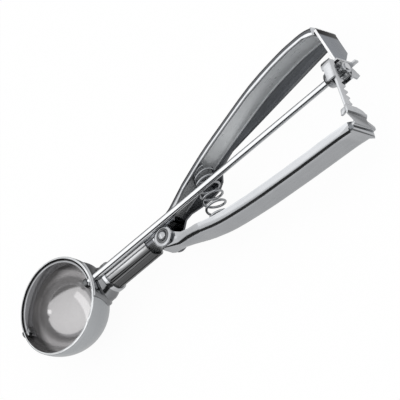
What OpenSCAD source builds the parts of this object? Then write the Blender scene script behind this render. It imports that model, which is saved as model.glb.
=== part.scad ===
/* [Bowl] */
// Outer diameter of the bowl at its rim
bowl_d = 50; // [44:1:56]
// Sheet thickness of the bowl
bowl_wall = 1; // [0.8:0.1:1.2]
// Depth of the straight band between the rim and the round part
rim_band = 2.2; // [2.1:0.1:3]

/* [Scraper] */
// Diameter of the long rod that turns the scraper
rod_d = 3.6; // [3:0.1:4]
// Thickness of the scraper's curved strip
blade_t = 0.9; // [0.6:0.1:1.4]
// Width of the strip above the rod's axis, towards the rim
blade_up = 1.6; // [0.8:0.1:2]
// Width of the strip below the rod's axis, into the bowl
blade_down = 4.2; // [3:0.1:6]
// Gap between the strip and the inside of the bowl
blade_gap = 0.6; // [0.4:0.1:1]
// Diameter of the sleeve that joins the rod to the strip
hub_d = 5; // [4.6:0.1:6]
// Length of that sleeve
hub_len = 2.2; // [1.6:0.1:6]
// Diameter of the far end pin
end_pin_d = 2.6; // [2.2:0.1:3]
// Diameter of the round head of the far end pin
end_head_d = 3.8; // [3.7:0.1:5]
// Thickness of that head
end_head_t = 0.9; // [0.6:0.1:1.6]
// Length of the boss that carries the strip on the far end pin
end_boss_len = 1.4; // [1:0.1:2.4]

/* [Neck] */
// Thickness of the saddle plate on the bowl
saddle_t = 1.5; // [1:0.1:2]
// Half width of the saddle across the bowl
saddle_half = 10; // [8.5:0.1:11.5]
// Depth of the saddle's lower edge under the rim
saddle_low = 18.4; // [17:0.1:20]
// Radius of the saddle's rounded lower corners
saddle_corner = 5; // [2:0.1:7]
// Distance from the bowl to the start of the tube
neck_len = 3.7; // [3:0.1:6]
// Radius of the flare where it leaves the bowl
flare_r = 9.2; // [8.4:0.1:9.6]
// Outer diameter of the tube
tube_d = 14.5; // [13.5:0.1:14.8]
// Wall of the tube
tube_wall = 1.05; // [0.8:0.05:1.4]
// Length of the tube
tube_len = 30.9; // [26:0.1:40]
// Depth of the tube's axis under the rim
tube_depth = 11.5; // [11.5:0.1:12.5]
// Number of lengthwise flutes in the tube
flutes = 10; // [8:1:12]
// Depth of each flute
flute_depth = 0.45; // [0.3:0.05:0.6]
// Width of the collar ring at the tube's front end
collar_len = 2.4; // [1.6:0.1:4]
// How far the collar stands above the tube
collar_rise = 0.9; // [0.5:0.1:1.2]

/* [Handles] */
// Sheet thickness of both handles
sheet = 1.2; // [1:0.1:1.5]
// Distance from the tube's end to the hinge
hinge_ahead = 12.2; // [11:0.1:16]
// How far the hinge lies beside the rod, towards the lever
hinge_off = 5.6; // [5.4:0.1:6.4]
// Length of the handles behind the hinge
handle_len = 129.2; // [120:0.2:140]
// How much further back the lever reaches than the fixed handle
lever_extra = 1.4; // [0.5:0.1:2]
// Largest height of the fixed handle above the rod
upper_rise = 34; // [31:0.5:38]
// Largest drop of the lever below the rod
lower_drop = 32; // [30:0.5:36]
// Depth of the handles' middle plane under the rim
handle_depth = 10.8; // [10.8:0.1:11.6]
// Half width of the fixed handle at the hinge
front_half = 6.5; // [6.2:0.1:6.5]
// Half width of the handles over the spring
spring_half = 8.1; // [8:0.1:8.6]
// Half width of the handles at their rear ends
rear_half = 9.1; // [8.8:0.1:10]
// Depth of the lever's side flanges
lever_flange = 5.3; // [4.5:0.1:6.5]
// Depth of the fixed handle's near flange
near_flange = 4.2; // [3:0.1:5]
// Depth of the fixed handle's far flange at the rear
far_flange = 8.2; // [7:0.1:9]
// Radius of the fixed handle's ears round the hinge
ear_r = 5.7; // [5.3:0.1:5.9]
// Gap on each side between the lever's ears and the fixed ears
ear_gap = 0.15; // [0.1:0.05:0.3]
// Diameter of the hinge rivet's shank
rivet_d = 4; // [3:0.1:5]
// Diameter of the rivet's heads
rivet_head_d = 6.4; // [5.6:0.1:7]
// Thickness of the rivet's heads
rivet_head_t = 1.3; // [0.8:0.1:1.6]
// Radial running clearance of the turning fits
run_gap = 0.05; // [0.02:0.01:0.08]

/* [Return spring] */
// Distance of the spring behind the hinge
spring_back = 31.2; // [30:0.1:34]
// Largest coil radius, to the middle of the wire
coil_r = 5.55; // [5:0.05:5.7]
// Diameter of the spring wire
wire_d = 1.3; // [1:0.1:1.5]
// Number of turns
turns = 7; // [5:1:8]
// Gap between the spring and the handles it bears on
seat_gap = 0.15; // [0.1:0.05:0.3]

/* [Rack and pinion] */
// Distance along one tooth of the rack
tooth_pitch = 3.674; // [3.5:0.01:3.8]
// Number of teeth on the pinion
teeth = 7; // [7:1:7]
// Number of teeth on the rack
rack_teeth = 7; // [6:1:7]
// Thickness of the rack plate
rack_t = 1.5; // [1:0.1:2]
// Distance from the fixed handle's rear end to the middle of the rack plate
rack_back = 7.5; // [7:0.1:9]
// Solid width of the rack plate behind its teeth
rack_solid = 3.1; // [2.5:0.1:4]
// Length of the pinion
pinion_len = 5.6; // [4:0.1:6]
// Wall of the cage round the pinion
cage_wall = 1; // [0.8:0.1:1.4]
// Gap between the cage and what moves in it
cage_gap = 0.25; // [0.2:0.05:0.4]
// Length of the cage along the rod
cage_len = 5.1; // [4.5:0.1:6]
// Length of the nose that carries the rod in front of the cage
nose_len = 5; // [4:0.1:8]
// Radius of the nose's front end
nose_r0 = 4.2; // [3:0.1:5]
// Radius of the nose's rear end
nose_r1 = 6; // [5:0.1:6.2]
// Radius of the cage's bend between its roof and its near leg
cage_bend = 4.5; // [2:0.1:5]
// Diameter of the washer on the rod's rear end
cap_d = 6.2; // [5:0.1:7]
// Thickness of that washer
cap_t = 1.1; // [0.6:0.1:2]
// How far the rod stands out behind the washer
rod_tip = 0.6; // [0.3:0.1:2]
// Thickness of the guide strip
strip_t = 1.5; // [1:0.1:2]
// Depth of the guide strip's near edge under the rim
strip_near = 1.6; // [1.4:0.1:3]
// Depth of the guide strip's far edge under the rim
strip_far = 16.3; // [15:0.1:18]

/* [Hidden] */

bowl_r = bowl_d / 2;
bowl_in = bowl_r - bowl_wall;
rod_r = rod_d / 2;
rod_z = -rim_band;
bore_r = rod_r + run_gap;
end_pin_r = end_pin_d / 2;
big = 400;

blade_out = sqrt(pow(bowl_in - blade_gap, 2) - pow(blade_down, 2));
blade_in = blade_out - blade_t;

neck_x = bowl_r + neck_len;
tube_x1 = neck_x + tube_len;
tube_z = -tube_depth;
tube_r = tube_d / 2;
tube_in = tube_r - tube_wall;
flute_r = 1.7;

hinge_x = tube_x1 + hinge_ahead;
hinge_y = -hinge_off;
mid_z = -handle_depth;
end_x = hinge_x + handle_len;
lever_end = end_x + lever_extra;
lever_len = handle_len + lever_extra;
pivot_r = rivet_d / 2;
inner_half = front_half - sheet - ear_gap;

rack_x = end_x + rack_back;
pitch_r = teeth * tooth_pitch / (2 * PI);
module_mm = tooth_pitch / PI;
rack_tip = pitch_r - 0.81 * module_mm;
rack_root = pitch_r + 1.07 * module_mm;
rack_edge = rack_root + rack_solid;
pinion_tip = pitch_r + 0.86 * module_mm;
cage_in = pinion_tip + cage_gap;
cage_out = cage_in + cage_wall;
cage_x0 = rack_x - 4;
cage_x1 = cage_x0 + cage_len;
pinion_x0 = cage_x0 + cage_gap + 0.25;
pinion_x1 = pinion_x0 + pinion_len;
cap_x1 = pinion_x1 + cap_t;
rod_end = cap_x1 + rod_tip;

// Stations along a handle: share of its length, share of its height
upper_st = [[-0.062, 0.128], [0.02, 0.134], [0.05, 0.15], [0.156, 0.309], [0.296, 0.529],
    [0.42, 0.682], [0.621, 0.906], [0.79, 1.007], [0.876, 1.024], [0.938, 1.019], [0.98, 0.98], [1, 0.93]];
lower_st = [[-0.034, 0.33], [0.04, 0.438], [0.118, 0.544], [0.172, 0.606], [0.272, 0.716],
    [0.443, 0.816], [0.62, 0.88], [0.776, 0.925], [0.9, 0.955], [0.975, 0.99], [1, 1]];

function px(st) = [for (s = st) hinge_x + s[0] * handle_len];
function smooth(p, q, r, s, t) = 0.5 * (2 * q + (r - p) * t
    + (2 * p - 5 * q + 4 * r - s) * t * t + (3 * q - p - 3 * r + s) * t * t * t);
function curve(pts, n) = concat([for (i = [0 : len(pts) - 2], j = [0 : n - 1])
    smooth(pts[max(0, i - 1)], pts[i], pts[i + 1], pts[min(len(pts) - 1, i + 2)], j / n)],
    [pts[len(pts) - 1]]);
function back(pts) = [for (i = [len(pts) - 1 : -1 : 0]) pts[i]];
function shift(pts, d) = [for (p = pts) [p[0], p[1] + d]];
function arc(cx, cy, r, a0, a1, n) =
    [for (i = [0 : n]) [cx + r * cos(a0 + (a1 - a0) * i / n), cy + r * sin(a0 + (a1 - a0) * i / n)]];

upper_top = curve([for (s = upper_st) [hinge_x + s[0] * handle_len, s[1] * upper_rise]], 3);
lower_low = curve([for (s = lower_st) [hinge_x + s[0] * lever_len, -s[1] * lower_drop]], 3);

// Height of the fixed handle's back, and of the lever's, at a place along the rod
function upper_y(x) = lookup(x, upper_top);
function lower_y(x) = lookup(x, lower_low);

// Half widths of the handles seen from above: place, half width
function plan(h0, cut, xe, front) = let (r = rear_half - cut, s = spring_half - cut, h = h0 - cut,
    half = concat([for (p = front) [hinge_x + p[0] + cut, min(h, p[1])]],
        [[hinge_x + 9, h], [hinge_x + 22, s], [hinge_x + 50, s + 0.2], [xe - 1.8 - cut, r], [xe - cut, r - 1.8]]))
    concat([for (p = half) [p[0], mid_z - p[1]]], [for (p = back(half)) [p[0], mid_z + p[1]]]);

square_front = [[-8.2, big]];
round_front = [[-5.2, 1.8], [-4.4, 3.2], [-3.2, 4.3], [-1.6, big]];

module along_z(pts) {
    translate([0, 0, mid_z]) linear_extrude(big, center = true) polygon(pts);
}
module plan_solid(pts) {
    rotate([90, 0, 0]) linear_extrude(big, center = true) polygon(pts);
}
module placed() {
    translate([bowl_r - bowl_wall / 2, 0, 0]) children();
}
module slab_x(x0, x1) {
    translate([x0, -big / 2, -big / 2]) cube([x1 - x0, big, big]);
}
module rod_line(r, x0, x1) {
    translate([x0, 0, rod_z]) rotate([0, 90, 0]) cylinder(r = r, h = x1 - x0, $fn = 64);
}
module tube_line(r, x0, x1) {
    translate([x0, 0, tube_z]) rotate([0, 90, 0]) cylinder(r = r, h = x1 - x0, $fn = 96);
}
module hinge_line(r, z0, z1) {
    translate([hinge_x, hinge_y, z0]) cylinder(r = r, h = z1 - z0, $fn = 64);
}

module bowl() {
    color("silver") placed() difference() {
        translate([0, 0, rod_z]) rotate_extrude($fn = 128) difference() {
            union() {
                intersection() {
                    circle(r = bowl_r, $fn = 128);
                    translate([0, -big]) square([big, big]);
                }
                square([bowl_r, rim_band]);
            }
            circle(r = bowl_in, $fn = 128);
            square([bowl_in, rim_band + 1]);
        }
        rod_line(end_pin_r + run_gap, -bowl_r - 1, -bowl_r + 5);
        rod_line(bore_r, bowl_r - 5, bowl_r + 1);
    }
}

module saddle_shape(r) {
    intersection() {
        translate([0, 0, rod_z]) sphere(r = r, $fn = 128);
        translate([0, 0, 0]) rotate([90, 0, 90]) linear_extrude(bowl_r + 20) union() {
            translate([-saddle_half, -saddle_low + saddle_corner])
                square([2 * saddle_half, saddle_low - saddle_corner - 0.1]);
            translate([-saddle_half + saddle_corner, -saddle_low])
                square([2 * (saddle_half - saddle_corner), saddle_corner + 1]);
            for (s = [-1, 1]) translate([s * (saddle_half - saddle_corner), -saddle_low + saddle_corner])
                circle(r = saddle_corner, $fn = 48);
        }
    }
}

module neck_saddle() {
    color("lightgray") placed() difference() {
        union() {
            saddle_shape(bowl_r + saddle_t);
            translate([0, 0, tube_z]) rotate([0, 90, 0]) rotate_extrude($fn = 96) polygon([
                [0, bowl_r - 10], [flare_r, bowl_r - 10], [flare_r, bowl_r - 1.5],
                [flare_r - 0.5, bowl_r + 0.2], [tube_r + 0.6, neck_x - 1.6], [tube_r + 0.25, neck_x],
                [0, neck_x]]);
        }
        translate([0, 0, rod_z]) sphere(r = bowl_r, $fn = 128);
        translate([0, 0, rod_z]) cylinder(r = bowl_r, h = rim_band + 1, $fn = 128);
        rod_line(bore_r, 0, neck_x + 1);
    }
}

module neck_collar() {
    color("white") placed() difference() {
        tube_line(tube_r + collar_rise, neck_x, neck_x + collar_len);
        tube_line(tube_r, neck_x - 1, neck_x + collar_len + 1);
        rod_line(bore_r + cage_gap, neck_x - 1, neck_x + collar_len + 1);
    }
}

module shank_tube() {
    color("gainsboro") placed() difference() {
        tube_line(tube_r, neck_x, tube_x1);
        tube_line(tube_in, neck_x - 1, tube_x1 + 1);
        for (i = [0 : flutes - 1]) translate([0, 0, tube_z]) rotate([360 * (i + 0.5) / flutes, 0, 0])
            translate([neck_x + collar_len, 0, tube_r + flute_r - flute_depth])
                rotate([0, 90, 0]) cylinder(r = flute_r, h = tube_len + 1, $fn = 32);
    }
}

// Lower edges of the fixed handle's two sides, from the rear end to the ears
function side_edge(deep) = deep
    ? concat([[end_x, upper_y(end_x) - 3], [end_x - 15, upper_y(end_x - 15) - far_flange],
        [end_x - 38, upper_y(end_x - 38) - 1.15 * far_flange],
        [hinge_x + 62, upper_y(hinge_x + 62) - 0.77 * far_flange],
        [hinge_x + 47, upper_y(hinge_x + 47) - 0.88 * near_flange]],
        [[hinge_x + 39.2, 14], [hinge_x + 36.9, 10.5], [hinge_x + 35.4, 6.5], [hinge_x + 32, 3.6],
            [hinge_x + 26, 2.5], [hinge_x + 19, 2.4], [hinge_x + 12, 2.6], [hinge_x + 8, 1.4],
            [hinge_x + 5.8, -1.2]])
    : concat([for (f = [1, 0.93, 0.85, 0.75, 0.6, 0.48, 0.36, 0.26, 0.18])
        let (x = hinge_x + f * handle_len) [x, upper_y(x) - near_flange]],
        [[hinge_x + 14.5, 3.4], [hinge_x + 11.4, 1.2], [hinge_x + 9.3, -2.4]]);

module cheek_outline(deep) {
    polygon(concat(upper_top, side_edge(deep), arc(hinge_x, hinge_y, ear_r, 35, -180, 24)));
}

module fixed_handle() {
    color("lightsteelblue") placed() difference() {
        union() {
            intersection() {
                plan_solid(plan(front_half, 0, end_x, square_front));
                difference() {
                    union() {
                        along_z(concat(upper_top, back(shift(upper_top, -sheet))));
                        translate([0, 0, mid_z]) linear_extrude(big) cheek_outline(false);
                        translate([0, 0, mid_z - big]) linear_extrude(big) cheek_outline(true);
                    }
                    intersection() {
                        plan_solid(plan(front_half, sheet, end_x, square_front));
                        translate([hinge_x - 5.6, -big / 2, -big / 2]) cube([big, big, big]);
                        along_z(concat(back(shift(upper_top, -sheet)),
                            [[hinge_x - 12, -big], [end_x + 9, -big]]));
                    }
                }
            }
            intersection() {
                tube_line(tube_in, tube_x1 - 16, hinge_x - 6);
                translate([tube_x1 - 17, -3.4, tube_z - 10]) cube([40, 6.8, 20]);
            }
        }
        hinge_line(pivot_r, -big / 2, big / 2);
    }
}

module pivot_rivet() {
    color("whitesmoke") placed() union() {
        hinge_line(pivot_r, mid_z - front_half - rivet_head_t * 0.6, mid_z + front_half + 0.5);
        translate([hinge_x, hinge_y, mid_z + front_half]) rotate_extrude($fn = 64) polygon([
            [0, 0], [rivet_head_d / 2, 0], [rivet_head_d / 2, rivet_head_t * 0.45],
            [rivet_head_d / 2 - 0.5, rivet_head_t * 0.85], [rivet_head_d / 2 - 1.2, rivet_head_t],
            [0, rivet_head_t]]);
    }
}

module pivot_washer() {
    color("gray") placed() difference() {
        hinge_line(rivet_head_d / 2, mid_z - front_half - rivet_head_t, mid_z - front_half);
        hinge_line(pivot_r, mid_z - front_half - rivet_head_t * 0.6, 0);
    }
}

strip_foot = cage_out;
strip_top = upper_y(end_x) - 0.5;
strip_x1 = rack_x - 1.3;
strip_notch = 10;

module guide_strip() {
    color("lightslategray") placed() intersection() {
        translate([0, 0, -strip_far]) linear_extrude(strip_far - strip_near)
            polygon([[end_x, strip_top], [end_x + strip_t * 0.9, strip_top],
                [end_x + strip_t, strip_top - 2.4], [strip_x1 + 0.4, strip_foot],
                [strip_x1 - strip_t + 0.4, strip_foot], [end_x, strip_top - 2.4]]);
        translate([end_x - 1, 0, 0]) rotate([90, 0, 90]) linear_extrude(rack_x - end_x) polygon([
            [strip_foot, -strip_near], [strip_foot, -8.6], [strip_foot + 3.2, -strip_far + 5.4],
            [strip_foot + strip_notch, -strip_far], [strip_top - 1.5, -strip_far],
            [strip_top, -strip_far + 1.5], [strip_top, -strip_near - 1.5], [strip_top - 1.5, -strip_near]]);
    }
}

near_leg = rack_edge + cage_gap;

// Outline of the cage from the rear: first value towards the near side, second towards the fixed handle
module cage_outline(cut) {
    r = cage_out - cut;
    b = cage_bend - cut;
    e = near_leg + cage_wall - cut;
    union() {
        circle(r = r, $fn = 96);
        translate([-r * 0.55, 0]) square([r * 0.55 + e - b, r]);
        translate([e - b, r - b]) circle(r = b, $fn = 64);
        translate([0, -cage_out]) square([e, cage_out + r - b]);
    }
}

module cage_section() {
    difference() {
        cage_outline(0);
        cage_outline(cage_wall);
        translate([0, -big]) square([near_leg, big]);
        translate([-cage_out * 0.42, -cage_out - 1]) square([cage_out, cage_out]);
    }
}

module cage_place(x0, x1) {
    translate([x0, 0, rod_z]) rotate([0, 90, 0]) linear_extrude(x1 - x0) mirror([1, 0]) children();
}

lug_x = cage_x0 + 1.2;

module gear_cage() {
    color("silver") placed() difference() {
        union() {
            cage_place(cage_x0, cage_x1) cage_section();
            cage_place(cage_x0 - cage_wall, cage_x0) difference() {
                cage_outline(0);
                translate([0, -big]) square([big, big - 2.4]);
                translate([cage_out - 0.4, -big]) square([big, big + 0.4]);
            }
            translate([cage_x0, cage_out - cage_wall, rod_z - cage_out - 4.2])
                cube([cage_len, cage_wall, cage_out + 4.2]);
            translate([cage_x0 + cage_len - 1, cage_out - cage_wall, rod_z - cage_out - 4.2])
                cube([3.4, cage_wall, 2.6]);
            cage_place(lug_x, lug_x + cage_wall) polygon([[-cage_out - 0.6, cage_out - cage_wall],
                [-cage_out - 4.2, cage_out], [-cage_out - 6.2, cage_out - 1.6], [-cage_out - 9.2, 2],
                [-cage_out - 6.6, -0.4], [-cage_out + 0.6, 0.6], [-cage_in - 0.2, 3.4]]);
        }
        rod_line(bore_r, cage_x0 - cage_wall - 1, cage_x1 + 1);
        cage_place(cage_x0 + 2.1, cage_x1 + 1) translate([rack_tip - 0.5, 1])
            square([rack_edge - rack_tip + 0.5 + cage_gap, big]);
        cage_place(cage_x0 + 2.1, cage_x1 + 1) circle(r = cage_in, $fn = 96);
    }
}

module rod_nose() {
    color("white") placed() difference() {
        translate([cage_x0 - cage_wall - nose_len, 0, rod_z]) rotate([0, 90, 0]) rotate_extrude($fn = 64)
            polygon([[0, 0], [nose_r0 - 0.4, 0], [nose_r0, 0.5], [nose_r1 - 0.9, nose_len * 0.6],
                [nose_r1, nose_len], [0, nose_len]]);
        rod_line(bore_r, cage_x0 - cage_wall - nose_len - 1, cage_x0);
    }
}

lever_top = concat(
    [for (f = [1, 0.9, 0.776, 0.62, 0.443, 0.34, 0.272, 0.21, 0.172, 0.12])
        let (x = hinge_x + f * lever_len) [x, lower_y(x) + lever_flange]],
    [[hinge_x + 10.4, hinge_y - 4.4], [hinge_x + 6.6, hinge_y - 1.6]],
    arc(hinge_x, hinge_y, 4.4, 15, 190, 16));

module moving_handle() {
    color("lightblue") placed() difference() {
        intersection() {
            along_z(concat(lower_low, lever_top));
            plan_solid(plan(inner_half, 0, lever_end, round_front));
            translate([hinge_x - 5.2, -big / 2, -big / 2]) cube([big, big, big]);
            difference() {
                slab_x(hinge_x - 20, lever_end + 20);
                intersection() {
                    plan_solid(plan(inner_half, sheet, lever_end, round_front));
                    along_z(concat(shift(lower_low, sheet), [[lever_end + 9, big], [hinge_x - 20, big]]));
                }
            }
        }
        hinge_line(pivot_r + run_gap, -big / 2, big / 2);
    }
}

rack_top_y = tooth_pitch * 1.25;
rack_low_y = rack_top_y - rack_teeth * tooth_pitch - 2.2;

module rack_section() {
    union() {
        translate([rack_root, rack_low_y]) square([rack_solid, rack_top_y - rack_low_y]);
        for (i = [0 : rack_teeth - 1]) translate([0, -i * tooth_pitch]) polygon([
            [rack_tip, -0.454], [rack_root, -1.257], [rack_root + 0.5, -1.257],
            [rack_root + 0.5, 1.257], [rack_root, 1.257], [rack_tip, 0.454]]);
        translate([rack_tip + 0.9, rack_low_y]) square([rack_edge - rack_tip - 0.9, 3.2]);
    }
}

module rack_plate() {
    color("silver") placed() cage_place(rack_x - rack_t / 2, rack_x + rack_t / 2) rack_section();
}

foot_top = rack_low_y;
foot_low = lower_y(lever_end) + 0.6;
shelf_back = foot_top - 3.6;
shelf_front = shelf_back - 1.2;
foot_side = [[rack_x - rack_t / 2, foot_top], [rack_x + rack_t / 2, foot_top],
    [rack_x + rack_t / 2, shelf_back], [rack_x, shelf_back - 0.9],
    [lever_end + strip_t, shelf_front - 1], [lever_end + strip_t, foot_low], [lever_end, foot_low],
    [lever_end, shelf_front], [rack_x - rack_t / 2, shelf_back + 0.6]];
foot_near = rod_z + rack_edge;
foot_far = mid_z - rear_half;

module rack_foot() {
    color("gainsboro") placed() intersection() {
        along_z(foot_side);
        translate([lever_end - 1, 0, 0]) rotate([90, 0, 90]) linear_extrude(rack_x - lever_end + 4) polygon([
            [foot_top + 1, foot_near], [foot_top + 1, rod_z + rack_tip + 0.9], [foot_top - 0.2, -2.4],
            [foot_top - 1.2, -5.4], [shelf_back + 0.8, -7.2], [shelf_back, -big], [-big, -big],
            [-big, foot_near]]);
        plan_solid([[rack_x + 2, foot_near], [rack_x - rack_t / 2, foot_near], [lever_end + 2.4, -2.4],
            [lever_end - 1, -2.4], [lever_end - 1, foot_far + 1.8], [lever_end + 1.8, foot_far + 1.8],
            [rack_x - 2.6, -11], [rack_x - rack_t / 2, -8.2], [rack_x + 2, -7.4]]);
    }
}

module rack_stop() {
    color("silver") placed() difference() {
        translate([0, 0, foot_near - rack_t]) linear_extrude(rack_t) polygon([
            [rack_x - rack_t / 2, foot_top - 0.4], [rack_x - rack_t / 2 - 2.8, foot_top - 0.7],
            [rack_x - rack_t / 2 - 3.8, shelf_back - 0.1], [rack_x - rack_t / 2, shelf_back - 0.2]]);
        along_z(foot_side);
    }
}

spring_x = hinge_x + spring_back;
spring_hi = upper_y(spring_x) - sheet - wire_d / 2 - seat_gap - 0.25;
spring_lo = lower_y(spring_x) + sheet + wire_d / 2 + seat_gap + 0.25;
hi_slope = (upper_y(spring_x + coil_r) - upper_y(spring_x - coil_r)) / (2 * coil_r);
lo_slope = (lower_y(spring_x + coil_r) - lower_y(spring_x - coil_r)) / (2 * coil_r);
steps = 22;
sides = 8;
function coil_p(s) = let (
    f = pow(s, 1.35), a = 360 * turns * s + 40, r = coil_r * (0.86 + 0.14 * sin(180 * min(1, s * 1.25))),
    k = hi_slope * pow(1 - s, 3) + lo_slope * pow(s, 3))
    [spring_x + r * cos(a), spring_hi + (spring_lo - spring_hi) * f + k * r * cos(a), mid_z + r * sin(a)];
function unit(v) = v / norm(v);
function ring(s) = let (p = coil_p(s), t = unit(coil_p(s + 0.002) - coil_p(s - 0.002)),
    e = unit([p[0] - spring_x, 0, p[2] - mid_z]), n = unit(e - (e * t) * t), b = cross(t, n))
    [for (j = [0 : sides - 1]) p + wire_d / 2 * (cos(360 * j / sides) * n + sin(360 * j / sides) * b)];

module return_spring() {
    n = turns * steps;
    pts = [for (i = [0 : n]) each ring(0.002 + 0.996 * i / n)];
    color("dimgray") placed() polyhedron(points = pts, convexity = 8, faces = concat(
        [[for (j = [0 : sides - 1]) j]],
        [for (i = [0 : n - 1], j = [0 : sides - 1])
            [i * sides + j, (i + 1) * sides + j, (i + 1) * sides + (j + 1) % sides, i * sides + (j + 1) % sides]],
        [[for (j = [sides - 1 : -1 : 0]) n * sides + j]]));
}

module scraper_rod() {
    color("whitesmoke") placed() rod_line(rod_r, blade_in - hub_len, rod_end);
}

module inside_strip() {
    translate([0, 0, rod_z - hub_d]) cylinder(r = blade_in, h = 2 * hub_d, $fn = 128);
}

module scraper_hub() {
    color("silver") placed() difference() {
        intersection() {
            rod_line(hub_d / 2, blade_in - hub_len, blade_in);
            inside_strip();
        }
        rod_line(rod_r, 0, big);
    }
}

module blade_ring(r) {
    translate([0, 0, rod_z - blade_down]) cylinder(r = r, h = blade_up + blade_down, $fn = 128);
}

module scraper_blade() {
    color("gray") placed() difference() {
        intersection() {
            blade_ring(blade_out);
            translate([-big / 2, -hub_d / 2, -big / 2]) cube([big, big, big]);
        }
        translate([0, 0, -1]) blade_ring(blade_in);
        translate([0, 0, 1]) blade_ring(blade_in);
        rod_line(end_pin_r, -big / 2, 0);
        rod_line(rod_r, 0, big / 2);
    }
}

module scraper_end_pin() {
    color("whitesmoke") placed() union() {
        rod_line(end_pin_r, -bowl_r - 0.2 - end_head_t * 0.5, -blade_in + end_boss_len);
        translate([-bowl_r - 0.2, 0, rod_z]) rotate([0, -90, 0]) rotate_extrude($fn = 64) polygon([
            [0, 0], [end_head_d / 2, 0], [end_head_d / 2, end_head_t * 0.5],
            [end_head_d / 2 - 0.4, end_head_t * 0.85], [end_head_d / 2 - 0.9, end_head_t], [0, end_head_t]]);
    }
}

module scraper_end_boss() {
    color("silver") placed() difference() {
        intersection() {
            rod_line(end_pin_r + 0.7, -blade_in, -blade_in + end_boss_len);
            inside_strip();
        }
        rod_line(end_pin_r, -big / 2, 0);
    }
}

// Outline of one pinion tooth: distance from the axis and half thickness
tooth_form = [[2.5, 0.74], [3.5, 0.74], [4.1, 0.83], [4.6, 0.69], [pinion_tip, 0.38]];

module pinion() {
    color("darkgray") placed() difference() {
        cage_place(pinion_x0, pinion_x1) union() {
            circle(r = pitch_r - 1.16, $fn = 64);
            for (i = [0 : teeth - 1]) rotate([0, 0, 360 * (i + 0.5) / teeth]) polygon(concat(
                [for (p = tooth_form) [p[0], -p[1]]], [for (p = back(tooth_form)) [p[0], p[1]]]));
        }
        rod_line(rod_r, pinion_x0 - 1, pinion_x1 + 1);
    }
}

module rod_washer() {
    color("silver") placed() difference() {
        rod_line(cap_d / 2, pinion_x1, cap_x1);
        rod_line(rod_r, pinion_x1 - 1, cap_x1 + 1);
    }
}

bowl();
neck_saddle();
neck_collar();
shank_tube();
fixed_handle();
pivot_rivet();
pivot_washer();
guide_strip();
gear_cage();
rod_nose();
moving_handle();
rack_plate();
rack_foot();
rack_stop();
return_spring();
scraper_rod();
scraper_hub();
scraper_blade();
scraper_end_pin();
scraper_end_boss();
pinion();
rod_washer();
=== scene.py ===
import math

import bpy
from mathutils import Matrix, Vector


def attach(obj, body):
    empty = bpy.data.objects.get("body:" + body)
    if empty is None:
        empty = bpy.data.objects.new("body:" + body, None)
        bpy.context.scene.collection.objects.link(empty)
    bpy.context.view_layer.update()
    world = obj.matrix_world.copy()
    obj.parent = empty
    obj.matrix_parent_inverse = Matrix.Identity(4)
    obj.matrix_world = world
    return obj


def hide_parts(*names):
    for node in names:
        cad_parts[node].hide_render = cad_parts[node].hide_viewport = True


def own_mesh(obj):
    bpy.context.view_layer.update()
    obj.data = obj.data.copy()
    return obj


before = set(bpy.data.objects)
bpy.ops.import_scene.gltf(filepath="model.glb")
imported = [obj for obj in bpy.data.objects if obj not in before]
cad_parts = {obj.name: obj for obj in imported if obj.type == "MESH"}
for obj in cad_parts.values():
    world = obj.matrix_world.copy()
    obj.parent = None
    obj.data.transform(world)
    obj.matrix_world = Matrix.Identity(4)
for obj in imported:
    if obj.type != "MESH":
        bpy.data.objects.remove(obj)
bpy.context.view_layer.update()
scene = bpy.context.scene
scene.view_settings.view_transform = "Standard"

# x runs along the rod to the handles' ends, y up to the fixed handle, z out of the bowl's mouth
mm = 0.001
slideX = 24.5  # the origin lies on the bowl's rim, this far from the bowl's middle


def point(x, y, z):
    return Vector(((x + slideX) * mm, y * mm, z * mm))


# selecting and finishing, as by hand
def deselectAll():
    bpy.ops.object.select_all(action="DESELECT")


def grab(piece):
    deselectAll()
    piece.select_set(True)
    bpy.context.view_layer.objects.active = piece


def applyAll(piece):
    grab(piece)
    for modifier in list(piece.modifiers):
        bpy.ops.object.modifier_apply(modifier=modifier.name)


def bakePlace(piece):  # the place goes into the mesh, the object stays at the origin
    grab(piece)
    bpy.ops.object.transform_apply(location=True, rotation=True, scale=True)


def smooth(piece, degrees):
    grab(piece)
    bpy.ops.object.shade_smooth_by_angle(angle=math.radians(degrees))


def softenCorners(piece, width, segments, degrees):
    bevel = piece.modifiers.new("softEdge", "BEVEL")
    bevel.width = width * mm
    bevel.segments = segments
    bevel.limit_method = "ANGLE"
    bevel.angle_limit = math.radians(degrees)
    bevel.harden_normals = False
    applyAll(piece)


def pick(piece, kind, test):  # selects vertices, edges or faces by their place, and stays in edit mode
    bpy.ops.object.mode_set(mode="EDIT")
    bpy.ops.mesh.select_mode(type=kind)
    bpy.ops.mesh.select_all(action="DESELECT")
    bpy.ops.object.mode_set(mode="OBJECT")
    mesh = piece.data
    items = {"VERT": mesh.vertices, "EDGE": mesh.edges, "FACE": mesh.polygons}[kind]
    for item in items:
        item.select = bool(test(item))
    bpy.ops.object.mode_set(mode="EDIT")


def leaveEdit():
    bpy.ops.object.mode_set(mode="OBJECT")


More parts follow.
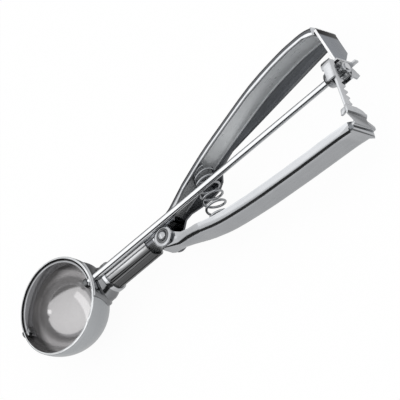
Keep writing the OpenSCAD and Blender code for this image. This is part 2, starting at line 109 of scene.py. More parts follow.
# a shader socket: sums and products of it add the Math nodes they need
class Wire:
    def __init__(self, tree, socket=None):
        self.tree, self.socket = tree, socket

    def node(self, kind, settings=None, sockets=None, out=0):
        made = self.tree.nodes.new(kind)
        for name, value in (settings or {}).items():
            if name == "stops":
                ramp = made.color_ramp
                while len(ramp.elements) < len(value):
                    ramp.elements.new(0.5)
                for element, (place, tone) in zip(ramp.elements, value):
                    element.position = place
                    element.color = (tone, tone, tone, 1)
            else:
                setattr(made, name, value)
        for name, value in (sockets or {}).items():
            if isinstance(value, Wire):
                self.tree.links.new(value.socket, made.inputs[name])
            else:
                made.inputs[name].default_value = value
        return Wire(self.tree, made.outputs[out] if made.outputs else None)

    def maths(self, operation, first, second=0.0, clamp=False):
        settings = {"operation": operation, "use_clamp": clamp}
        return self.node("ShaderNodeMath", settings, {0: first, 1: second})

    def __add__(self, other):
        return self.maths("ADD", self, other)

    def __radd__(self, other):
        return self.maths("ADD", other, self)

    def __sub__(self, other):
        return self.maths("SUBTRACT", self, other)

    def __rsub__(self, other):
        return self.maths("SUBTRACT", other, self)

    def __mul__(self, other):
        return self.maths("MULTIPLY", self, other)

    def __rmul__(self, other):
        return self.maths("MULTIPLY", other, self)

    def clamped(self):
        return self.maths("ADD", self, 0.0, clamp=True)

    def above(self, level):
        return self.maths("GREATER_THAN", self, level)

    def between(self, start, end):  # climbs from 0 at the start to 1 at the end
        return ((self - start) * (1 / (end - start))).clamped()

    def ramp(self, *stops):
        return self.node("ShaderNodeValToRGB", {"stops": stops}, {0: self})

    def blend(self, low, high):  # colours by this mask
        return self.node("ShaderNodeMix", {"data_type": "RGBA"}, {0: self, 6: low, 7: high}, out=2)

    def darkened(self, share):  # a colour times a share that varies
        settings = {"data_type": "RGBA", "blend_type": "MULTIPLY"}
        return self.node("ShaderNodeMix", settings, {0: 1.0, 6: self, 7: share}, out=2)

    def part(self, axis):
        return self.node("ShaderNodeSeparateXYZ", None, {0: self}, out=axis)


def objectPlace(start):
    return start.node("ShaderNodeTexCoord", out="Object")


def stretched(place, scale, turn=(0, 0, 0)):
    sockets = {"Vector": place, "Rotation": turn, "Scale": scale}
    return place.node("ShaderNodeMapping", {"vector_type": "POINT"}, sockets)


def noise(place, size=1.0, detail=3.0, rough=0.55):
    sockets = {"Vector": place, "Scale": size, "Detail": detail, "Roughness": rough}
    return place.node("ShaderNodeTexNoise", None, sockets)


def spots(place, size):
    return place.node("ShaderNodeTexVoronoi", {"feature": "F1"}, {"Vector": place, "Scale": size})


def layered(patterns, shares, base=None):  # each pattern by its share, on top of a base if there is one
    layers = [patterns[name] * share for name, share in shares.items()]
    if base is None:
        base = layers.pop(0)
    return sum(layers, base)


def opaque(tone):
    return (*tone, 1)


black, white = (0, 0, 0, 1), (1, 1, 1, 1)
half = 0.5  # the middle of a noise

# the steels: tones, roughness, the stretch of the rolling lines, their strength and relief, and
# where painted shade darkens a steel's colour, in metres
finishes = {
    "rodPolish": {
        "dark": (0.44, 0.45, 0.465), "light": (0.62, 0.63, 0.645), "rough": 0.10,
        "grain": (60, 900, 900), "lines": 0.10, "relief": 0.02},
    "handlePolish": {
        "dark": (0.34, 0.35, 0.365), "light": (0.50, 0.51, 0.525), "rough": 0.14,
        "grain": (35, 700, 700), "lines": 0.14, "relief": 0.03},
    "tubePolish": {
        "dark": (0.17, 0.175, 0.18), "light": (0.32, 0.325, 0.335), "rough": 0.12,
        "grain": (60, 800, 800), "lines": 0.12, "relief": 0.03},
    "shankPolish": {
        "dark": (0.42, 0.425, 0.435), "light": (0.62, 0.625, 0.635), "rough": 0.10,
        "grain": (60, 800, 800), "lines": 0.12, "relief": 0.03,
        "paintedShade": {"axis": "Y", "from": -0.0052, "to": -0.0032, "least": 0.2}},  # painted shade on the underside
    "bladeSteel": {
        "dark": (0.22, 0.225, 0.235), "light": (0.38, 0.385, 0.395), "rough": 0.14,
        "grain": (300, 300, 1500), "lines": 0.16, "relief": 0.04},
    "stampedSteel": {
        "dark": (0.36, 0.37, 0.385), "light": (0.54, 0.55, 0.565), "rough": 0.22,
        "grain": (500, 90, 500), "lines": 0.16, "relief": 0.05},
    # a duller, partly metallic steel for a handle's hollow, its tone painted lighter as painted light
    "dullHollowPaintedLight": {
        "dark": (0.60, 0.62, 0.635), "light": (0.78, 0.80, 0.815), "rough": 0.3, "metal": 0.4,
        "grain": (40, 500, 500), "lines": 0.14, "relief": 0.04,
        "paintedShade": {"axis": "X", "from": 0.105, "to": 0.15, "least": 0.3}},  # painted shade near the hinge
    # painted shade: a near-black steel for the fixed handle's far wall inside, its thin lips and its near
    # bend
    "paintedShadeSheet": {
        "dark": (0.08, 0.083, 0.09), "light": (0.16, 0.165, 0.175), "rough": 0.2,
        "grain": (40, 500, 500), "lines": 0.14, "relief": 0.04},
    "stripSteel": {
        "dark": (0.20, 0.215, 0.24), "light": (0.29, 0.305, 0.33), "rough": 0.26,
        "grain": (500, 80, 700), "lines": 0.12, "relief": 0.04,
        "paintedShade": {"axis": "Y", "from": 0.0268, "to": 0.0256, "least": 0.01}},  # painted shade under the top bend
    # painted highlight: a pale, mostly diffuse steel for the strip's near side and its rolled top
    "paintedHighlightBend": {
        "dark": (0.80, 0.805, 0.815), "light": (0.90, 0.905, 0.915), "rough": 0.25, "metal": 0.2,
        "grain": (500, 80, 700), "lines": 0.12, "relief": 0.04},
    "gearSteel": {
        "dark": (0.16, 0.165, 0.17), "light": (0.40, 0.41, 0.42), "rough": 0.3,
        "grain": (150, 700, 700), "lines": 0.2, "relief": 0.06},
    "hubSteel": {
        "dark": (0.06, 0.062, 0.065), "light": (0.2, 0.205, 0.21), "rough": 0.34,
        "grain": (500, 500, 500), "lines": 0.1, "relief": 0.03},
    "springWire": {
        "dark": (0.24, 0.25, 0.265), "light": (0.48, 0.49, 0.505), "rough": 0.14,
        "grain": (500, 500, 500), "lines": 0.12, "relief": 0.02},
}
# the wear that all steels share: the sizes and limits of its patterns, and by how much each of them
# lightens the tone, roughens the surface and stands up from it
wear = {
    "cloud": 90.0, "haze": 420.0, "pits": 900.0, "hairFiner": 2.6, "hairTurn": (0.0, 0.12, 0.2),
    "hairStops": ((0.6, 0), (0.68, 1)), "pitStops": ((0.05, 1), (0.12, 0)), "pitsAbove": 0.56,
    "edgeStops": ((0.53, 0), (0.6, 1)),
    "lightens": {"cloud": 0.45, "lines": 0.45, "haze": 0.2, "edge": 0.5, "hair": -0.12, "pits": -0.5},
    "hazeRough": 0.08, "roughens": {"hair": 0.06, "pits": 0.15, "edge": -0.08},
    "raises": {"lines": 0.5, "hair": -0.25, "pits": -0.6, "haze": 0.2}, "depth": 0.0002,
}


def newMaterial(name):
    material = bpy.data.materials.new(name)
    material.use_nodes = True
    material.node_tree.nodes.clear()
    return material, Wire(material.node_tree)


def closeMaterial(material, start, colour, rough, bump, strength, metallic=1.0):
    relief = {"Strength": strength, "Distance": wear["depth"], "Height": bump}
    normal = start.node("ShaderNodeBump", None, relief)
    sockets = {"Base Color": colour, "Roughness": rough, "Metallic": metallic, "Normal": normal}
    shader = start.node("ShaderNodeBsdfPrincipled", None, sockets)
    start.node("ShaderNodeOutputMaterial", None, {0: shader})
    return material


def steel(name):
    look = finishes[name]
    material, start = newMaterial(name)
    place = objectPlace(start)
    lines = noise(stretched(place, look["grain"]), detail=4.0)
    cloud = noise(place, wear["cloud"])
    haze = noise(place, wear["haze"], detail=4.0, rough=0.65)
    fine = stretched(place, tuple(v * wear["hairFiner"] for v in look["grain"]), wear["hairTurn"])
    hair = noise(fine, detail=2.0).ramp(*wear["hairStops"])
    pits = spots(place, wear["pits"]).ramp(*wear["pitStops"]) * haze.above(wear["pitsAbove"])
    edge = start.node("ShaderNodeNewGeometry", out="Pointiness").ramp(*wear["edgeStops"]) * cloud
    patterns = {"lines": lines, "cloud": cloud, "haze": haze, "hair": hair, "pits": pits, "edge": edge}
    tone = layered(patterns, wear["lightens"]).clamped()
    colour = tone.blend(opaque(look["dark"]), opaque(look["light"]))
    rough = look["rough"] + (lines - half) * look["lines"] + (haze - half) * wear["hazeRough"]
    rough = layered(patterns, wear["roughens"], rough).clamped()
    height = layered(patterns, wear["raises"])
    # painted shade: the colour darkens along one axis, down to the least share, where the piece stands in
    # shade
    if "paintedShade" in look:
        paintedSpan = look["paintedShade"]
        reach = place.part(paintedSpan["axis"]).between(paintedSpan["from"], paintedSpan["to"])
        colour = colour.darkened(reach * (1 - paintedSpan["least"]) + paintedSpan["least"])
    return closeMaterial(material, start, colour, rough, height, look["relief"], look.get("metal", 1.0))


# the bowl: a bright inside with painted shade as a darker band on the wall under the rim, a satin outside
# and a polished rim, with its places in metres
bowlFinish = {
    "middle": (0.0245, 0.0, -0.0022), "inside": 0.0247, "rimFrom": -0.0006,
    "inDark": (0.50, 0.492, 0.496), "inLight": (0.62, 0.61, 0.615),
    "outDark": (0.40, 0.415, 0.43), "outLight": (0.54, 0.555, 0.57), "rim": (0.55, 0.56, 0.57),
    # painted shade: where and by how much the inside wall under the rim is darkened
    "paintedShadeFrom": -0.0122, "paintedShadeTo": -0.0086, "paintedShadeEdge": 0.003, "wall": 0.26, "metal": 0.62,
    "cloud": 70.0, "haze": 600.0, "ringStretch": (6.0, 900.0, 60.0), "hairStretch": (22.0, 2600.0, 0.0),
    "hairStops": ((0.6, 0), (0.67, 1)),
    "lightens": {"cloud": 0.4, "rings": 0.45, "haze": 0.25, "hair": -0.1},
    "rough": 0.1, "outRough": 0.13, "ringRough": 0.03, "outRingRough": 0.13, "hazeRough": 0.03,
    "roughens": {"hair": 0.03, "rim": -0.02},
    "raises": {"rings": 0.5, "haze": 0.25, "hair": -0.3}, "inRelief": 0.1, "relief": 0.035,
}


def bowlSteel():
    look = bowlFinish
    material, start = newMaterial("bowlSteel")
    place = objectPlace(start)
    centred = start.node("ShaderNodeVectorMath", {"operation": "SUBTRACT"}, {0: place, 1: look["middle"]})
    far = start.node("ShaderNodeVectorMath", {"operation": "LENGTH"}, {0: centred}, out="Value")
    height = place.part("Z")
    spin = start.node("ShaderNodeTexGradient", {"gradient_type": "RADIAL"}, {"Vector": centred})

    def around(scale):  # the place in turns, in height and outwards, stretched along each
        parts = {0: spin * scale[0], 1: height * scale[1], 2: far * scale[2]}
        return start.node("ShaderNodeCombineXYZ", None, parts)

    rings = noise(around(look["ringStretch"]), detail=4.0)
    cloud = noise(place, look["cloud"])
    haze = noise(place, look["haze"], detail=4.0, rough=0.65)
    hair = noise(around(look["hairStretch"]), detail=2.0).ramp(*look["hairStops"])
    outer = far.above(look["inside"])
    rim = height.above(look["rimFrom"])
    patterns = {"rings": rings, "cloud": cloud, "haze": haze, "hair": hair, "rim": rim}
    tone = layered(patterns, look["lightens"]).clamped()
    inner = tone.blend(opaque(look["inDark"]), opaque(look["inLight"]))
    outerTone = tone.blend(opaque(look["outDark"]), opaque(look["outLight"]))
    # painted shade: the inside wall darkens towards the rim, to the wall share of the inside's dark tone
    wall = (height + cloud * look["paintedShadeEdge"]).between(look["paintedShadeFrom"], look["paintedShadeTo"]) * (1 - outer)
    paintedShadeTone = opaque(v * look["wall"] for v in look["inDark"])
    shell = outer.blend(wall.blend(inner, paintedShadeTone), outerTone)
    colour = rim.blend(shell, opaque(look["rim"]))
    ringRough = (rings - half) * (look["ringRough"] + outer * look["outRingRough"])
    rough = look["rough"] + outer * look["outRough"] + ringRough + (haze - half) * look["hazeRough"]
    rough = layered(patterns, look["roughens"], rough).clamped()
    relief = layered(patterns, look["raises"]) * (outer * (1 - look["inRelief"]) + look["inRelief"])
    metal = (outer + rim).clamped() * (1 - look["metal"]) + look["metal"]
    return closeMaterial(material, start, colour, rough, relief, look["relief"], metal)


materials = {name: steel(name) for name in finishes}
materials["bowl"] = bowlSteel()
print("finishes mixed")

# the camera looks into the bowl from the lever's side: its place in mm from the bowl's middle,
# and what it sees, near and far, in metres
view = {"up": (0.559, 0.803, 0.207), "away": (0.489, -0.521, 0.700), "across": 71.24, "upward": 52.44,
        "distance": 9050.0, "lens": 1641.9, "sensor": 36, "near": 0.5, "far": 20}


def setCamera():
    up, away = Vector(view["up"]).normalized(), Vector(view["away"]).normalized()
    up = (up - up.dot(away) * away).normalized()
    right = up.cross(away)
    centre = right * view["across"] + up * view["upward"]
    spot = centre + away * view["distance"] + Vector((slideX, 0, 0))
    bpy.ops.object.camera_add()
    camera = bpy.context.object
    camera.name = "camera"
    turn = Matrix((right, up, away)).transposed().to_4x4()
    camera.matrix_world = Matrix.Translation(spot * mm) @ turn
    camera.data.lens = view["lens"]
    camera.data.sensor_width = view["sensor"]
    camera.data.clip_start = view["near"]
    camera.data.clip_end = view["far"]
    scene.camera = camera


# the pale floor, with its level in mm; in reflections it is bright far out on the lever's side and past
# the handles' ends, dark on the fixed handle's side, and dark in a corner below the lever's end
floorLook = {
    "level": -27.35, "size": 8, "white": 0.9, "mottled": 0.02, "mottle": 3.0, "glow": 0.95, "mirrored": 0.8,
    "slope": 1.6, "middle": 0.5, "turnsFrom": 0.222, "turnsBy": 8.0,
    "seen": ((0.0, 0.95), (0.3, 0.92), (0.42, 0.74), (0.515, 0.64), (0.55, 0.06), (1.0, 0.06)),
    "cornerX": 0.226, "cornerY": -0.034, "sharpX": 140.0, "sharpY": -200.0, "cornerDark": 0.95,
}
# the sky that the steel mirrors: its tone by a tilted height, which falls off on the lever's side
skyLook = {
    "tiltX": 0.13, "tiltY": 0.25, "tiltZ": 0.5, "middle": 0.5, "strength": 1.2,
    "tones": ((0.0, 0.10), (0.40, 0.03), (0.545, 0.03), (0.575, 0.85), (1.0, 1.0)),
}
# the lamps, in metres and watts, and what they point at
lampsAim = (0.13, 0.0, -0.005)
lamps = {
    "bigSoftbox": {"toward": (-0.45, 0.02, 0.85), "along": (0, 1, 0), "distance": 2.0,
                   "wide": 0.68, "tall": 2.7, "power": 3.5},
    "sideStrip": {"toward": (0.86, -0.45, 0.25), "along": (0, 0, 1), "distance": 2.0,
                  "wide": 0.35, "tall": 1.0, "power": 1.0},
}


def rays(start, *kinds):  # what tells camera, glossy and glass rays apart
    return [start.node("ShaderNodeLightPath", out=f"Is {kind} Ray") for kind in kinds]


def setFloor():
    look = floorLook
    bpy.ops.mesh.primitive_plane_add(size=look["size"], location=(0, 0, look["level"] * mm))
    floor = bpy.context.object
    floor.name = "floor"
    bakePlace(floor)
    material, start = newMaterial("paleFloor")
    place = objectPlace(start)
    tone = noise(place, look["mottle"], detail=2.0) * look["mottled"] + (look["white"] - look["mottled"] / 2)
    plain = start.node("ShaderNodeBsdfDiffuse", None, {0: tone.blend(black, white)})
    cameraRay, glossyRay, glassRay = rays(start, "Camera", "Glossy", "Transmission")
    behind = start.maths("MAXIMUM", place.part("X") - look["turnsFrom"], 0.0)
    beside = place.part("Y") * look["slope"] + look["middle"] - behind * look["turnsBy"]
    cornerX = ((place.part("X") - look["cornerX"]) * look["sharpX"]).clamped()
    cornerY = ((place.part("Y") - look["cornerY"]) * look["sharpY"]).clamped()
    dark = cornerX * cornerY * look["cornerDark"]
    seen = (beside.ramp(*look["seen"]) * (1 - dark)).blend(black, white)
    glow = start.node("ShaderNodeEmission", None, {0: glossyRay.blend(white, seen), 1: 1.0})
    share = ((cameraRay + glassRay).clamped() * look["glow"] + glossyRay * look["mirrored"]).clamped()
    shader = start.node("ShaderNodeMixShader", None, {0: share, 1: plain, 2: glow})
    start.node("ShaderNodeOutputMaterial", None, {0: shader})
    floor.data.materials.append(material)


def setSky():
    look = skyLook
    world = bpy.data.worlds.new("studioWorld")
    scene.world = world
    world.use_nodes = True
    world.node_tree.nodes.clear()
    start = Wire(world.node_tree)
    toward = start.node("ShaderNodeTexCoord", out="Generated")
    lowDown = start.maths("MINIMUM", toward.part("Y"), 0.0)
    lift = toward.part("Z") * look["tiltZ"] + lowDown * look["tiltY"]
    lift = lift + toward.part("X") * look["tiltX"] + look["middle"]
    cameraRay, glassRay = rays(start, "Camera", "Transmission")
    sky = start.node("ShaderNodeBackground", None, {0: lift.ramp(*look["tones"]), 1: look["strength"]})
    plain = start.node("ShaderNodeBackground", None, {0: white, 1: 1.0})
    both = start.node("ShaderNodeMixShader", None, {0: (cameraRay + glassRay).clamped(), 1: sky, 2: plain})
    start.node("ShaderNodeOutputWorld", None, {0: both})


def setLamps():
    for name, lamp in lamps.items():
        toward = Vector(lamp["toward"]).normalized()
        bpy.ops.object.light_add(type="AREA")
        light = bpy.context.object
        light.name = name
        side = Vector(lamp["along"]).cross(toward).normalized()
        turn = Matrix((side, toward.cross(side), toward)).transposed().to_4x4()
        light.matrix_world = Matrix.Translation(Vector(lampsAim) + toward * lamp["distance"]) @ turn
        light.data.shape = "RECTANGLE"
        light.data.size, light.data.size_y = lamp["wide"], lamp["tall"]
        light.data.energy = lamp["power"]
        light.visible_camera = False


deselectAll()
setCamera()
setFloor()
setSky()
setLamps()
print("camera and studio set")

# pressed and machined pieces are taken from the frame and given soft edges, in mm and degrees
# a handle lists its finishes in the order of the sheet names, and sameSheet keeps the one round a bend
# the hollow's slot is painted lighter, the shade slot is painted shade, and the near slot is a painted
# highlight
outsideSheet, paintedLightHollowSlot, paintedShadeSlot, paintedHighlightSlot, sameSheet = 0, 1, 2, 3, -1
plainStrip, paintedHighlightStrip = 0, 1
channelMiddle = -10.8
softEdges = {
    "bowl": {
        "body": "frame", "edge": 0.08, "angle": 40, "finish": ("bowl",), "slot": "brushed_steel",
        "rim": {"beyond": 24.6, "lower": 0.42, "slack": 0.02, "radius": 0.3}},
    "neck_saddle": {
        "body": "frame", "edge": 0.35, "angle": 35, "finish": ("tubePolish",), "slot": "brushed_steel"},
    "neck_collar": {
        "body": "frame", "edge": 0.3, "angle": 35, "finish": ("rodPolish",), "slot": "polished_steel"},
    "shank_tube": {
        "body": "frame", "edge": 0.16, "angle": 50, "finish": ("shankPolish",), "slot": "polished_steel"},
    "fixed_handle": {
        "body": "frame", "edge": 0.22, "angle": 35, "slot": "polished_steel",
        # the near wall's outside and its rolled lip take the brighter rod polish as a painted highlight
        "finish": ("handlePolish", "dullHollowPaintedLight", "paintedShadeSheet", "rodPolish"),
        "channel": {"outside": (0, 1, 0), "shaded": True},
        # the near bend takes the painted-shade steel, a painted dark line along the fold
        "fold": {"near": 3.0, "nearProfile": 0.62, "nearFinish": paintedShadeSlot, "far": 2.7,
                 "inner": 1.1, "innerFrom": 110, "lip": 0.5}},
    # the strip's near side and its rolled top take the pale steel as a painted highlight
    "guide_strip": {
        "body": "frame", "edge": 0.3, "angle": 30, "slot": "satin_steel",
        "finish": ("stripSteel", "paintedHighlightBend"), "paintedHighlightSide": True,
        "end": {"outside": (0, 1, 0), "radius": 1.2, "from": 200, "finish": paintedHighlightStrip}},
    "gear_cage": {
        "body": "frame", "edge": 0.25, "angle": 35, "finish": ("stampedSteel",), "slot": "satin_steel"},
    "rod_nose": {
        "body": "frame", "edge": 0.3, "angle": 40, "finish": ("stampedSteel",), "slot": "satin_steel"},
    "moving_handle": {
        "body": "lever", "edge": 0.22, "angle": 35, "slot": "polished_steel",
        "finish": ("handlePolish", "dullHollowPaintedLight"),
        "channel": {"outside": (0, -1, 0), "shaded": False},
        "fold": {"near": 4.3, "nearProfile": 0.5, "nearFinish": sameSheet, "far": 4.0,
                 "inner": 1.7, "innerFrom": 100},
        "end": {"outside": (0, -1, 0), "radius": 2.6, "from": 220, "finish": sameSheet}},
    "rack_plate": {
        "body": "lever", "edge": 0.14, "angle": 35, "finish": ("stampedSteel",), "slot": "satin_steel"},
    "rack_foot": {
        "body": "lever", "edge": 0.35, "angle": 30, "finish": ("stampedSteel",), "slot": "satin_steel",
        "raised": {"below": -30.9, "by": 2.0}},
    "rack_stop": {
        "body": "lever", "edge": 0.3, "angle": 30, "finish": ("stampedSteel",), "slot": "satin_steel"},
    "scraper_blade": {
        "body": "scraper", "edge": 0.2, "angle": 40, "finish": ("bladeSteel",), "slot": "brushed_steel"},
    "scraper_hub": {
        "body": "scraper", "edge": 0.25, "angle": 40, "finish": ("hubSteel",), "slot": "polished_steel"},
    "pinion": {
        "body": "scraper", "edge": 0.12, "angle": 35, "finish": ("gearSteel",), "slot": "satin_steel"},
    "rod_washer": {
        "body": "scraper", "edge": 0.2, "angle": 40, "finish": ("stampedSteel",), "slot": "polished_steel"},
}
# how all of them are cleaned, rounded and shaded, in mm and degrees, and how narrow a lip is
sheet = {"merge": 0.004, "flat": 0.6, "smooth": 28, "lip": 0.8, "edgeSteps": 3,
         "foldSteps": 7, "innerSteps": 4, "endSteps": 6, "rimSteps": 4}
# how far a face looks along a direction: 1 is straight along it
straight, mostly, partly, hardly, slightly = 0.9, 0.6, 0.4, 0.3, 0.25


def wallsByEdge(mesh):  # the normals and middles of the faces on each side of every edge
    walls = {}
    for face in mesh.polygons:
        for key in face.edge_keys:
            found = {"normal": face.normal.copy(), "middle": face.center.copy()}
            walls.setdefault(key, []).append(found)
    return walls


# rounds the edges between two faces that pass the test: it gets their normals, the one that looks
# more along z first, the edge's middle, and whether the edge sticks out of the sheet
def rollEdges(piece, radius, steps, test, finish=sameSheet, profile=0.5):
    mesh = piece.data
    walls = wallsByEdge(mesh)
    corners = [v.co.copy() for v in mesh.vertices]

    def chosen(edge):
        pair = walls.get(edge.key, ())
        if len(pair) != 2:
            return False
        wall, other = sorted(pair, key=lambda face: -abs(face["normal"].z))
        middle = (corners[edge.vertices[0]] + corners[edge.vertices[1]]) / 2
        outward = wall["normal"].dot(other["middle"] - middle) < 0
        return test(wall["normal"], other["normal"], middle, outward)

    pick(piece, "EDGE", chosen)
    bpy.ops.mesh.bevel(offset=radius * mm, segments=steps, profile=profile,
                       clamp_overlap=False, material=finish)
    leaveEdit()


def chooseSheets(piece, channel):  # the hollow takes a duller steel painted lighter; in a shaded channel the far wall's inside and the thin lips take painted shade, and the near wall's outside a painted highlight
    middle = channelMiddle * mm
    outside = Vector(channel["outside"])
    corners = [v.co.copy() for v in piece.data.vertices]
    for face in piece.data.polygons:
        wall = abs(face.normal.z) > straight
        inner = wall and face.normal.z * (face.center.z - middle) < 0
        nearer = wall and face.normal.z > 0
        under = face.normal.dot(outside) < -slightly
        around = sum((corners[a] - corners[b]).length for a, b in face.edge_keys)
        lip = under and face.area < around * sheet["lip"] * mm
        if channel["shaded"] and ((nearer and inner) or lip):
            face.material_index = paintedShadeSlot
        elif channel["shaded"] and nearer:
            face.material_index = paintedHighlightSlot
        else:
            face.material_index = paintedLightHollowSlot if under or inner else outsideSheet


def rollFolds(piece, fold, outside):  # the bends between a handle's back and its two walls
    def outerFold(facing):  # 1 for the near wall, -1 for the far one
        return lambda n1, n2, middle, outward: (
            outward and n1.z * facing > straight and abs(n2.z) < partly and n2.dot(outside) > slightly)

    def innerFold(n1, n2, middle, outward):
        return (not outward and abs(n1.z) > straight and abs(n2.z) < partly
                and n2.dot(outside) < -slightly and middle.x > fold["innerFrom"] * mm)

    def nearLip(n1, n2, middle, outward):
        return (outward and n1.z > straight and n2.dot(outside) < -slightly
                and middle.x > fold["innerFrom"] * mm and middle.z > channelMiddle * mm)

    rollEdges(piece, fold["near"], sheet["foldSteps"], outerFold(1), fold["nearFinish"], fold["nearProfile"])
    rollEdges(piece, fold["far"], sheet["foldSteps"], outerFold(-1))
    rollEdges(piece, fold["inner"], sheet["innerSteps"], innerFold)
    if "lip" in fold:
        # the near lip takes the brighter polish as a painted highlight
        rollEdges(piece, fold["lip"], sheet["innerSteps"], nearLip, paintedHighlightSlot)


def rollEnd(piece, end):  # the corner at the rear, on a handle's back or at the strip's top
    outside = Vector(end["outside"])

    def rearCorner(n1, n2, middle, outward):
        return (outward and abs(n1.z) < hardly and abs(n2.z) < hardly and middle.x > end["from"] * mm
                and min(n1.x, n2.x) < mostly and max(n1.x, n2.x) > straight
                and max(n1.dot(outside), n2.dot(outside)) > mostly)

    rollEdges(piece, end["radius"], sheet["endSteps"], rearCorner, end["finish"])


def rollRim(piece, rim):  # the rim slopes outward a little and has a rolled outer corner
    lowest = -(rim["lower"] + rim["slack"]) * mm

    def outermost(place):
        return place.z > lowest and math.hypot(place.x - slideX * mm, place.y) > rim["beyond"] * mm

    pick(piece, "VERT", lambda vertex: outermost(vertex.co))
    bpy.ops.transform.translate(value=(0, 0, -rim["lower"] * mm))
    leaveEdit()
    rollEdges(piece, rim["radius"], sheet["rimSteps"], lambda n1, n2, middle, outward: outermost(middle))


def copyFromFrame(node, finish):  # a copy of a node, merged and with its flat faces whole again
    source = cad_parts[node]
    piece = source.copy()
    piece.data = source.data.copy()
    piece.name = node + "_softened"
    piece.parent = None
    piece.matrix_world = Matrix.Identity(4)
    piece.hide_render = False
    scene.collection.objects.link(piece)
    piece.data.materials.clear()
    for name in finish:
        piece.data.materials.append(materials[name])
    grab(piece)
    bpy.ops.object.mode_set(mode="EDIT")
    bpy.ops.mesh.select_all(action="SELECT")
    bpy.ops.mesh.remove_doubles(threshold=sheet["merge"] * mm)
    bpy.ops.mesh.customdata_custom_splitnormals_clear()
    bpy.ops.mesh.dissolve_limited(angle_limit=math.radians(sheet["flat"]))
    leaveEdit()
    return piece


def soften(node, plan):
    piece = copyFromFrame(node, plan["finish"])
    if plan.get("paintedHighlightSide"):
        # painted highlight: the faces towards the near side take the pale steel
        for face in piece.data.polygons:
            face.material_index = paintedHighlightStrip if face.normal.z > straight else plainStrip
    if "channel" in plan:
        chooseSheets(piece, plan["channel"])
    if "raised" in plan:  # the lower edge is drawn up, clear of the rolled corner under it
        pick(piece, "VERT", lambda vertex: vertex.co.y < plan["raised"]["below"] * mm)
        bpy.ops.transform.translate(value=(0, plan["raised"]["by"] * mm, 0))
        leaveEdit()
    if "fold" in plan:
        rollFolds(piece, plan["fold"], Vector(plan["channel"]["outside"]))
    if "end" in plan:
        rollEnd(piece, plan["end"])
    if "rim" in plan:
        rollRim(piece, plan["rim"])
    softenCorners(piece, plan["edge"], sheet["edgeSteps"], plan["angle"])
    smooth(piece, sheet["smooth"])
    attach(piece, plan["body"])
    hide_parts(node)


for node, plan in softEdges.items():
    soften(node, plan)
print("pressed parts softened")

# round pieces that stay as they are in the frame
keptNodes = {"scraper_rod": "rodPolish", "pivot_washer": "stampedSteel",
             "scraper_end_pin": "hubSteel", "scraper_end_boss": "hubSteel"}
for node, finish in keptNodes.items():
    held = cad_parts[node]
    if not held.material_slots:
        held.data.materials.append(materials[finish])
    for place in held.material_slots:
        place.material = materials[finish]

# the hinge's rivet, ring and boss, each drawn out of a disc by the heights and radii of its rings
rivet = {"x": 71.8, "y": -5.6, "shank": 1.98, "foot": -18.1, "around": 48,
         "edge": 0.12, "edgeSteps": 2, "angle": 55, "smooth": 40,
         "head": ((-4.35, 1.98), (-4.35, 2.45), (-3.9, 2.5), (-3.5, 2.38), (-3.15, 2.1),
                  (-2.87, 1.65), (-2.69, 1.1), (-2.6, 0.55)),
         "ring": ((-4.5, 3.75), (-4.05, 3.75), (-3.85, 3.5), (-3.82, 3.2), (-3.95, 2.85), (-4.15, 2.6)),
         "boss": ((-4.5, 5.62), (-4.28, 5.62), (-4.08, 5.45), (-3.96, 5.1), (-3.93, 4.7),
                  (-3.98, 4.3), (-4.1, 3.95), (-4.24, 3.6), (-4.3, 3.2), (-4.32, 2.6))}


def turned(name, centre, rings, finish):
    deselectAll()
    height, radius = rings[0]
    foot = centre + Vector((0, 0, height * mm))
    bpy.ops.mesh.primitive_circle_add(vertices=rivet["around"], radius=radius * mm,
                                      fill_type="NGON", location=foot)
    piece = bpy.context.object
    piece.name = name
    bakePlace(piece)
    pick(piece, "FACE", lambda face: True)
    for nextHeight, nextRadius in rings[1:]:
        climb = (0, 0, (nextHeight - height) * mm)
        bpy.ops.mesh.extrude_region_move(TRANSFORM_OT_translate={"value": climb})
        grow = nextRadius / radius
        level = centre + Vector((0, 0, nextHeight * mm))
        bpy.ops.transform.resize(value=(grow, grow, 1), center_override=level)
        height, radius = nextHeight, nextRadius
    bpy.ops.mesh.select_all(action="SELECT")
    bpy.ops.mesh.normals_make_consistent(inside=False)
    leaveEdit()
    softenCorners(piece, rivet["edge"], rivet["edgeSteps"], rivet["angle"])
    smooth(piece, rivet["smooth"])
    piece.data.materials.append(materials[finish])
    return piece


hinge = point(rivet["x"], rivet["y"], 0)
pin = turned("pivot_rivet_domed", hinge, ((rivet["foot"], rivet["shank"]), *rivet["head"]), "handlePolish")
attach(pin, "frame")
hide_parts("pivot_rivet")
for name, finish in (("boss", "handlePolish"), ("ring", "hubSteel")):
    piece = turned("hinge_" + name, hinge, rivet[name], finish)
    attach(piece, "frame")
print("rivet turned")

# the return spring is wound evenly, then its turns are gathered at the top and its ends are tilted
spring = {"x": 103.0, "z": -10.8, "wire": 0.65, "coil": 5.55, "high": 13.018, "low": -19.671, "turns": 7,
          "highSlope": 0.41, "lowSlope": -0.25, "start": 40.0, "gather": 1.35, "around": 12, "steps": 44,
          "lean": 0.9, "swell": 0.45, "narrow": 0.86, "widensBy": 1.25, "smooth": 50}


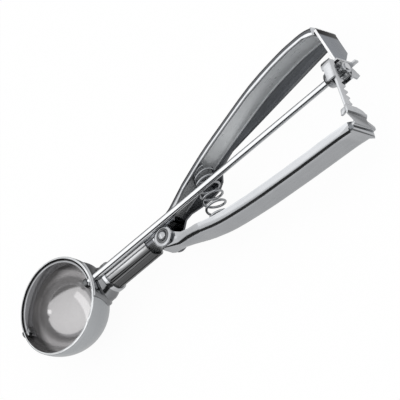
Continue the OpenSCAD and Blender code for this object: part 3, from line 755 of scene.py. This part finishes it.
def springPath(share):  # radius, height and angle of the wire's middle at a share of its length
    s = spring
    widened = math.sin(math.pi * min(1.0, share * s["widensBy"]))
    radius = s["coil"] * (s["narrow"] + (1 - s["narrow"]) * widened) + s["swell"] * share ** 2
    angle = math.radians(360 * s["turns"] * share + s["start"])
    slope = s["highSlope"] * (1 - share) ** 3 + s["lowSlope"] * share ** 3
    evenly = s["high"] + (s["low"] - s["high"]) * share ** s["gather"]
    return radius, evenly + slope * radius * math.cos(angle), angle


def windSpring(pitch):  # a ring of wire screwed round the spring's middle
    s = spring
    deselectAll()
    bpy.ops.mesh.primitive_circle_add(vertices=s["around"], radius=s["wire"] * mm, fill_type="NOTHING",
                                      location=(s["coil"] * mm, 0, 0), rotation=(math.pi / 2, 0, 0))
    piece = bpy.context.object
    piece.name = "return_spring_coil"
    bakePlace(piece)
    coil = piece.modifiers.new("coil", "SCREW")
    coil.axis = "Z"
    coil.screw_offset = pitch
    coil.iterations = s["turns"]
    coil.steps = coil.render_steps = s["steps"]
    applyAll(piece)
    pick(piece, "VERT", lambda v: True)
    bpy.ops.mesh.remove_doubles(threshold=sheet["merge"] * mm)
    leaveEdit()
    return piece


def fitSpring(piece, pitch):  # moves each point of the even coil to its place on the spring's path
    s = spring
    for vertex in piece.data.vertices:
        co = vertex.co
        part = math.atan2(co.y, co.x) / math.tau
        turn = round(co.z / pitch - part) + part
        share = min(max(turn / s["turns"], 0.0), 1.0)
        radius, height, angle = springPath(share)
        out = math.hypot(co.x, co.y) / mm - s["coil"] + radius
        offWire = co.z / mm - turn * pitch / mm
        x = s["x"] + s["lean"] * share + out * math.cos(angle)
        vertex.co = point(x, height - offWire, s["z"] + out * math.sin(angle))
    pick(piece, "VERT", lambda v: True)
    bpy.ops.mesh.fill_holes(sides=0)
    bpy.ops.mesh.normals_make_consistent(inside=False)
    leaveEdit()


def makeSpring():
    pitch = (spring["high"] - spring["low"]) / spring["turns"] * mm
    piece = windSpring(pitch)
    fitSpring(piece, pitch)
    smooth(piece, spring["smooth"])
    piece.data.materials.append(materials["springWire"])
    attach(piece, "lever")
    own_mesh(piece)
    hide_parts("return_spring")


makeSpring()
print("spring wound")
